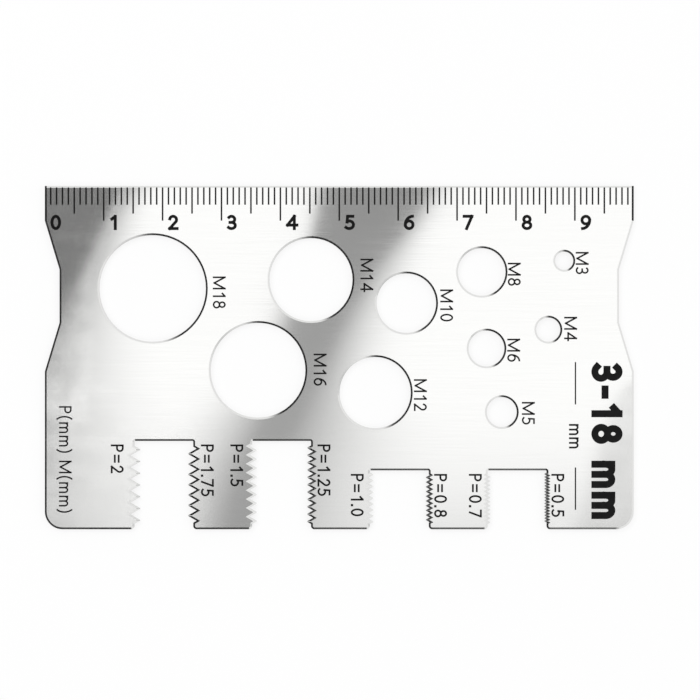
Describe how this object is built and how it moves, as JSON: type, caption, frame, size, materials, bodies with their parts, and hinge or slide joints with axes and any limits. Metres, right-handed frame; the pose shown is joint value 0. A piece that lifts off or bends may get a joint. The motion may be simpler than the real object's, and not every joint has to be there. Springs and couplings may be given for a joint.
{
  "type": "thread checker gauge",
  "caption": "Flat steel thread gauge card with bolt size holes, toothed pitch slots along one edge and a centimetre scale along the other.",
  "frame": {"origin": "middle of the plate's back face", "axes": "+X along the scale from nought upwards, +Y across the plate from the slotted edge to the scale, +Z out of the marked face"},
  "size_m": [0.1, 0.0582, 0.0012],
  "materials": {
    "steel": "polished sheet, fine grain",
    "black_enamel": "cured enamel fill"
  },
  "bodies": {
    "root": {"gauge_plate": "steel", "centimetre_lines": "black_enamel", "half_centimetre_lines": "black_enamel", "millimetre_lines": "black_enamel", "divider_lines": "black_enamel"}
  },
  "joints": []
}
